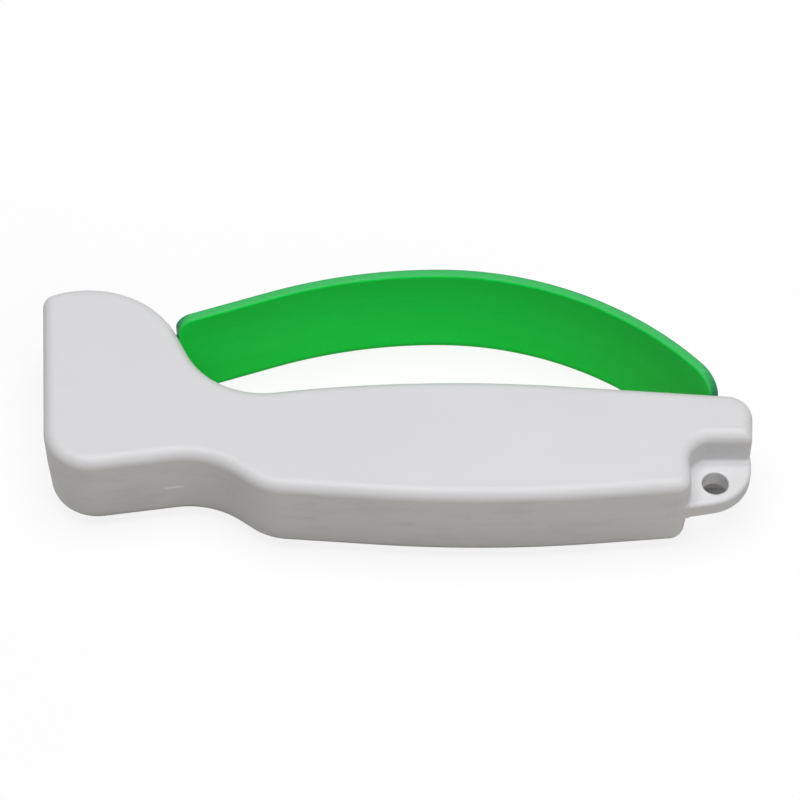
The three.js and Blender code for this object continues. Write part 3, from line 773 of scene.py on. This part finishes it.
class Shade:
    """A shader value of one node tree. Python's operators on it add Math nodes, and add() any other node."""

    def __init__(self, tree, socket=None):
        self.tree = tree
        self.socket = socket

    def add(self, kind, settings=None, inputs=None, output=0):
        """Node of a kind, with its settings first and then the values or links of its sockets. Gives one of
        its outputs, if it has any."""
        node = self.tree.nodes.new("ShaderNode" + kind)
        for key, value in (settings or {}).items():
            if key == "stops":
                ramp = node.color_ramp.elements
                while len(ramp) < len(value):
                    ramp.new(1.0)
                for stop, (place, colour) in zip(ramp, value):
                    stop.position, stop.color = place, colour
            else:
                setattr(node, key, value)
        for key, value in (inputs or {}).items():
            if isinstance(value, Shade):
                self.tree.links.new(value.socket, node.inputs[key])
            else:
                node.inputs[key].default_value = value
        return Shade(self.tree, node.outputs[output] if node.outputs else None)

    def beside(self, *outputs):
        """Named outputs of the node that this value comes from."""
        return (Shade(self.tree, self.socket.node.outputs[output]) for output in outputs)

    def math(self, operation, *values):
        return self.add("Math", {"operation": operation}, dict(enumerate(values)))

    def vector(self, operation, *values, output="Vector"):
        return self.add("VectorMath", {"operation": operation}, dict(enumerate(values)), output)

    def __add__(self, other):
        return self.math("ADD", self, other)

    def __sub__(self, other):
        return self.math("SUBTRACT", self, other)

    def __rsub__(self, other):
        return self.math("SUBTRACT", other, self)

    def __mul__(self, other):
        return self.math("MULTIPLY", self, other)

    def __truediv__(self, other):
        return self.math("DIVIDE", self, other)

    def __abs__(self):
        return self.math("ABSOLUTE", self)

    __radd__ = __add__
    __rmul__ = __mul__

    def axes(self):
        """X, Y and Z of a vector."""
        return self.add("SeparateXYZ", inputs={"Vector": self}).beside("X", "Y", "Z")

    def place(self, scale=None, turn=(0, 0, 0)):
        """The piece's own coordinates, turned and stretched if a scale is given."""
        own = self.add("TexCoord", output="Object")
        if scale is None:
            return own
        return self.add("Mapping", inputs={"Vector": own, "Rotation": turn, "Scale": scale})

    def normal(self):
        """The surface's normal in the piece's own coordinates."""
        return self.add("TexCoord", output="Normal")

    def noise(self, scale, detail=2.0, rough=0.5, at=None):
        """Noise with features of about one part in scale of a metre."""
        sockets = {"Vector": at or self.place(), "Scale": scale, "Detail": detail, "Roughness": rough}
        return self.add("TexNoise", inputs=sockets)

    def ramp(self, low, high):
        """Smooth step from 0 at low to 1 at high."""
        sockets = {"Value": self, "From Min": low, "From Max": high}
        return self.add("MapRange", {"interpolation_type": "SMOOTHSTEP"}, sockets)

    def tint(self, start, end):
        """Colour from start to end as the value goes from 0 to 1."""
        first, last = ((*colour, 1) if isinstance(colour, tuple) else colour for colour in (start, end))
        return self.add("Mix", {"data_type": "RGBA"}, {0: self, 6: first, 7: last}, output=2)

    def bump(self, strength, depth, under=None):
        """Normal of a surface raised by depth where the value is 1."""
        sockets = {"Height": self, "Strength": strength, "Distance": depth}
        if under:
            sockets["Normal"] = under
        return self.add("Bump", inputs=sockets)


# Finishes: sizes in metres, colours in linear light
PLASTIC = {"IOR": 1.5}
GREEN_PLASTIC = {"IOR": 1.5, "Specular IOR Level": 0.12}
METAL = {"Metallic": 1.0}
WHITE_LOW, WHITE_HIGH = (0.69, 0.69, 0.705), (0.70, 0.70, 0.716)
HANDLED = (0.60, 0.595, 0.59)
SCUFFED = (0.73, 0.725, 0.72)
MARKED = (0.92, 0.91, 0.90)
SEAM_LINE = (0.42, 0.41, 0.39)
GREEN_LOW, GREEN_HIGH = (0.003, 0.84, 0.073), (0.004, 0.87, 0.082)
# Painted shade: darker green at the foot of the guard's faces, by the floor
GREEN_FOOT_SHADE = (0.004, 0.58, 0.055)
# Painted highlight: paler green on the guard's narrow edges and ends
GREEN_EDGE_HIGHLIGHT = (0.058, 0.53, 0.13)
# Painted shade: darker green on the guard's rounded outer edge
GREEN_RIM_SHADE = (0.025, 0.29, 0.11)
SEAM_HEIGHT = LAID_DOWN[2] * MM
SEAM_FADE = (0.00002, 0.0001)
PALM_FADE = (-0.012, -0.008)
# Heights over which the painted shade at the guard's foot fades out
FOOT_SHADE_FADE = (0.0003, 0.0014)

# Away from the arch's middle, to be added to a point on the guard
FROM_ARCH = (0.00987, 0.037, 0.0)

# Pale mark on the palm side of the neck: its x and z, and half its length and height
MARK_X, MARK_Z = -0.0427, 0.01016
MARK_LONG, MARK_HIGH = 0.0022, 0.00036


def emptied(owner):
    """Start of a material's or world's shader, with no node in it."""
    owner.use_nodes = True
    owner.node_tree.nodes.clear()
    return Shade(owner.node_tree)


def finish(name, recipe, fixed):
    """Material of one shader: fixed values are set on its sockets, and the recipe's values are linked."""
    material = bpy.data.materials.new(name)
    paint = emptied(material)
    surface = paint.add("BsdfPrincipled", inputs={**fixed, **recipe(paint)})
    paint.add("OutputMaterial", inputs={"Surface": surface})
    return material


def white_plastic(paint):
    """Satin white moulding, slightly clouded, with a fine grain."""
    cloud = paint.noise(32, 3.0)
    grain = paint.noise(2600, 1.0)
    return {
        "Base Color": cloud.ramp(0.3, 0.7).tint(WHITE_LOW, WHITE_HIGH),
        "Roughness": 0.40 + cloud * 0.08 + grain * 0.06,
        "Normal": grain.bump(0.25, 0.00003, cloud.bump(0.15, 0.0002)),
    }


def shell_plastic(paint):
    """The white moulding with a faint line at the seam, scuffs along the grip, streaks on the upright walls
    and one pale mark."""
    look = white_plastic(paint)
    along, across, height = paint.place().axes()
    _, _, facing_up = paint.normal().axes()
    scuff = paint.noise(60, 5.0, 0.7, paint.place(scale=(1, 9, 9), turn=(0, 0, 0.2)))
    scuffed = scuff.ramp(0.62, 0.74) * 0.5
    streak = paint.noise(90, 5.0, 0.65, paint.place(scale=(1, 1, 3)))
    handled = (1 - abs(facing_up).ramp(0.1, 0.5)) * streak.ramp(0.48, 0.70)
    mark_along = 1 - abs(along - MARK_X).ramp(MARK_LONG * 0.6, MARK_LONG)
    mark_up = 1 - abs(height - MARK_Z).ramp(MARK_HIGH * 0.5, MARK_HIGH)
    mark = (1 - across.ramp(*PALM_FADE)) * mark_along * mark_up
    seam = 1 - abs(height - SEAM_HEIGHT).ramp(*SEAM_FADE)
    colour = (handled * 0.5).tint(look["Base Color"], HANDLED)
    colour = scuffed.tint(colour, SCUFFED)
    colour = (mark * 0.75).tint(colour, MARKED)
    look["Base Color"] = (seam * 0.12).tint(colour, SEAM_LINE)
    look["Roughness"] = look["Roughness"] + scuffed * 0.12
    return look


def guard_plastic(paint):
    """Green moulding, told apart by how far a face looks away from the arch's middle: the broad faces look in
    or out, the narrow edges and ends do neither and get a painted highlight as a paler green, and the rounded
    outer edge between gets painted shade as a darker green. The faces get painted shade at their foot, a
    darker green by the floor."""
    _, _, height = paint.place().axes()
    spoke = paint.vector("NORMALIZE", paint.vector("MULTIPLY_ADD", paint.place(), (1, 1, 0), FROM_ARCH))
    outward = paint.vector("DOT_PRODUCT", paint.normal(), spoke, output="Value")
    # edge: the narrow edges and ends, painted paler as a painted highlight, and also made less rough
    edge = 1 - abs(outward).ramp(0.45, 0.9)
    # rim: the rounded outer edge, painted darker as painted shade
    rim = outward.ramp(-0.05, 0.25) * (1 - outward.ramp(0.85, 0.98))
    cloud = paint.noise(40, 3.0)
    flow = paint.noise(30, 4.0, 0.6, paint.place(scale=(1, 1, 7)))
    grain = paint.noise(1900, 1.0)
    face = flow.ramp(0.3, 0.7).tint(GREEN_LOW, GREEN_HIGH)
    # Painted shade: darker green at the foot of the faces
    face = ((1 - height.ramp(*FOOT_SHADE_FADE)) * 0.8).tint(face, GREEN_FOOT_SHADE)
    return {
        "Base Color": rim.tint(edge.tint(face, GREEN_EDGE_HIGHLIGHT), GREEN_RIM_SHADE),
        "Roughness": 0.42 + cloud * 0.10 + grain * 0.05 - edge * 0.15,
        "Normal": grain.bump(0.2, 0.00003, cloud.bump(0.2, 0.0002)),
    }


def holder_plastic(paint):
    """Matt dark moulding with a coarse grain."""
    grain = paint.noise(3500, 2.0)
    cloud = paint.noise(180, 3.0)
    return {
        "Base Color": cloud.ramp(0.3, 0.7).tint((0.018, 0.019, 0.021), (0.032, 0.033, 0.035)),
        "Roughness": 0.5 + grain * 0.2,
        "Normal": grain.bump(0.35, 0.00004),
    }


def ground_carbide(paint):
    """Dark hard metal with fine lines from grinding across its edge."""
    lines = paint.noise(300, 3.0, 0.6, paint.place(scale=(30, 1, 1), turn=(0, 0, -END_LEAN)))
    cloud = paint.noise(400, 2.0)
    return {
        "Base Color": lines.tint((0.19, 0.195, 0.205), (0.32, 0.325, 0.335)),
        "Roughness": 0.24 + lines * 0.2 + cloud * 0.06,
        "Normal": lines.bump(0.3, 0.00002),
    }


def spotted_metal(paint, scale, dull, bright, rough):
    """Plain metal, slightly spotted in colour and gloss."""
    spots = paint.noise(scale, 3.0)
    return {
        "Base Color": spots.tint(dull, bright),
        "Roughness": rough + spots * 0.2,
        "Normal": spots.bump(0.2, 0.00002),
    }


def screw_zinc(paint):
    """Bright zinc on steel."""
    return spotted_metal(paint, 900, (0.52, 0.53, 0.55), (0.68, 0.68, 0.67), 0.22)


def nut_brass(paint):
    """Turned brass."""
    return spotted_metal(paint, 700, (0.55, 0.38, 0.13), (0.68, 0.5, 0.2), 0.25)


shell_white = finish("shell_white", shell_plastic, PLASTIC)
cover_white = finish("cover_white", white_plastic, PLASTIC)
guard_green = finish("guard_green", guard_plastic, GREEN_PLASTIC)
holder_dark = finish("holder_dark", holder_plastic, PLASTIC)
carbide = finish("carbide_ground", ground_carbide, METAL)
zinc = finish("screw_zinc", screw_zinc, METAL)
brass = finish("nut_brass", nut_brass, METAL)


def coat(piece, material):
    """The piece in one finish."""
    piece.data.materials.clear()
    piece.data.materials.append(material)


def fit(piece, body, node, material):
    """The piece takes a CAD node's place on its body, in its finish."""
    coat(piece, material)
    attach(piece, body)
    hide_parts(node)


shell_front, shell_rear = body_shells()
fit(shell_front, "body", "front_shell", shell_white)
fit(shell_rear, "body", "rear_shell", shell_white)
fit(finger_guard(), "body", "finger_guard", guard_green)
fit(blade_holder(), "blade_cartridge", "blade_holder", holder_dark)
fit(blade_cover(), "blade_cartridge", "blade_retainer", cover_white)
blade_left = carbide_blade("blade_left", -1, BLADE_REAR)
blade_right = carbide_blade("blade_right", 1, BLADE_FRONT)
fit(blade_left, "blade_cartridge", "carbide_blade_left", carbide)
fit(blade_right, "blade_cartridge", "carbide_blade_right", carbide)
fit(cover_screw(), "screw", "blade_screw", zinc)
coat(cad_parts["captive_nut"], brass)

# Studio, in metres
WHITE = (1.0, 1.0, 1.0)
STUDIO_RAYS = ("Camera", "Glossy", "Transmission")
FILL = 0.054
FLOOR_HALF = 3.0
FLOOR_DROP = 0.0001
FLOOR_BOUNCE = (0.655, 0.622, 0.55)
# Painted shade: the dark colour that the floor throws back within NEXT_TO of the palm side, which darkens the
# lower walls
FLOOR_PAINTED_SHADE = (0.03, 0.03, 0.03)
FLOOR_GLOW = 0.85
UNDER = 0.004
NEXT_TO = 0.014
MIDDLE_Y = -0.0125
LONG_TO_WIDE = 2.0
FAR_OFF = (0.04, 0.16)
SOFT_BOX = (0.8, 0.6)

# Ground under the body at stations along X, in millimetres: x, palm side and guard side
GROUND_HALF = 70.0
GROUND_SPAN = 100.0
GROUND = [
    (-69, -3, 20), (-66, -11, 22), (-61, -16, 24.5), (-56, -17.5, 26), (-43, -14.5, 18),
    (-36, -14.5, 4), (-30, -17, -1), (-22, -22, 0.5), (5, -24.5, 2), (25, -25, 2),
    (49, -22.5, 0.5), (54, -19, 0), (57, -16, -0.5), (69, -16, -2),
]


def seen_white(paint):
    """1 for rays of the camera, of gloss and of glass, which see the studio as plain white, else 0."""
    camera, gloss, glass = (paint.add("LightPath", output=f"Is {kind} Ray") for kind in STUDIO_RAYS)
    return paint.math("MAXIMUM", paint.math("MAXIMUM", camera, gloss), glass)


def ground_edges(paint, along, across):
    """Distances into the body's ground from its palm side, its guard side and its nearer end. The two sides
    at each station along X are kept as the red and green of a colour ramp."""
    half = GROUND_HALF * MM
    stops = [
        ((x / GROUND_HALF + 1) / 2, (0.5 + palm / GROUND_SPAN, 0.5 + guard / GROUND_SPAN, 0, 1))
        for x, palm, guard in GROUND
    ]
    sides = paint.add("ValToRGB", {"stops": stops}, {"Fac": along / (2 * half) + 0.5})
    palm, guard = paint.add("SeparateColor", inputs={"Color": sides}).beside("Red", "Green")
    span = GROUND_SPAN * MM
    return across - (palm - 0.5) * span, (guard - 0.5) * span - across, half - abs(along)


def floor_white(paint):
    """Floor that shows white and keeps the object's shadow: it glows for the rays that see it white, less
    near the object and not at all under it, and is matt for the rest. Next to the palm side a dark patch is
    painted into the light it throws back, as painted shade on the lower walls, and gloss sees that dark patch
    there as a painted dark reflection in place of its glow."""
    along, across, _ = paint.place().axes()
    from_palm, from_guard, from_end = ground_edges(paint, along, across)
    in_guard = from_guard.ramp(0, UNDER)
    under = from_palm.ramp(0, UNDER) * in_guard * from_end.ramp(0, UNDER)
    # The patch next to the palm side throws back a dark colour and hides the glow from gloss: painted shade
    # on the lower walls
    painted_shade_patch = from_palm.ramp(-NEXT_TO, 0) * in_guard * from_end.ramp(-NEXT_TO, 0)
    away = paint.math("MAXIMUM", abs(along) / LONG_TO_WIDE, abs(across - MIDDLE_Y)).ramp(*FAR_OFF)
    seen = seen_white(paint) * (1 - painted_shade_patch * paint.add("LightPath", output="Is Glossy Ray"))
    bounce = painted_shade_patch.tint(FLOOR_BOUNCE, FLOOR_PAINTED_SHADE)
    matt = paint.add("BsdfDiffuse", inputs={"Color": seen.tint(bounce, WHITE)})
    glow = paint.add("Emission", inputs={"Color": (*WHITE, 1), "Strength": 1.0})
    share = seen * (1 - under) * (FLOOR_GLOW + away * (1 - FLOOR_GLOW))
    mixed = paint.add("MixShader", inputs={0: share, 1: matt, 2: glow})
    paint.add("OutputMaterial", inputs={"Surface": mixed})


def backdrop(paint):
    """World that shows white and gives the object a low even fill."""
    fill = paint.add("Background", inputs={"Color": (*WHITE, 1), "Strength": FILL})
    white = paint.add("Background", inputs={"Color": (*WHITE, 1), "Strength": 1.0})
    mixed = paint.add("MixShader", inputs={0: seen_white(paint), 1: fill, 2: white})
    paint.add("OutputWorld", inputs={"Surface": mixed})


def soft_box(name, place, power):
    """Rectangular lamp that looks at the origin."""
    lamp = bpy.data.lights.new(name, "AREA")
    lamp.shape = "RECTANGLE"
    lamp.size, lamp.size_y = SOFT_BOX
    lamp.energy = power
    box = bpy.data.objects.new(name, lamp)
    box.location = place
    box.rotation_euler = (-Vector(place)).to_track_quat("-Z", "Y").to_euler()
    scene.collection.objects.link(box)


floor_mesh = bpy.data.meshes.new("floor")
corners = np.c_[rectangle((-FLOOR_HALF, -FLOOR_HALF), (FLOOR_HALF, FLOOR_HALF)), np.zeros(4)]
floor_mesh.from_pydata(corners, [], [(0, 1, 2, 3)])
floor_look = bpy.data.materials.new("floor_white")
floor_white(emptied(floor_look))
floor_mesh.materials.append(floor_look)
floor = bpy.data.objects.new("floor", floor_mesh)
floor.location.z = -FLOOR_DROP
scene.collection.objects.link(floor)

scene.world = bpy.data.worlds.new("studio")
backdrop(emptied(scene.world))
soft_box("top_light", (0, 0.03, 0.9), 7.2)
soft_box("side_light", (0.35, -0.58, 0.62), 1.75)

# Camera of the photograph
LOOK_AT = Vector((1.47, 10.051, 1.75)) * MM
ELEVATION = math.radians(53)
ROLL = math.radians(-0.28)
DISTANCE = 0.590
SENSOR = 36.0
PICTURE = 800
PIXELS_PER_MM = 4.92
CLIP = (0.05, 10.0)

scene.view_settings.view_transform = "Standard"
lens = bpy.data.cameras.new("camera")
lens.sensor_width = SENSOR
lens.lens = SENSOR * PIXELS_PER_MM * DISTANCE / MM / PICTURE
lens.clip_start, lens.clip_end = CLIP
camera = bpy.data.objects.new("camera", lens)
camera.location = LOOK_AT + DISTANCE * Vector((0, -math.cos(ELEVATION), math.sin(ELEVATION)))
tilt = Matrix.Rotation(math.pi / 2 - ELEVATION, 3, "X")
camera.rotation_euler = (tilt @ Matrix.Rotation(ROLL, 3, "Z")).to_euler()
scene.collection.objects.link(camera)
scene.camera = camera
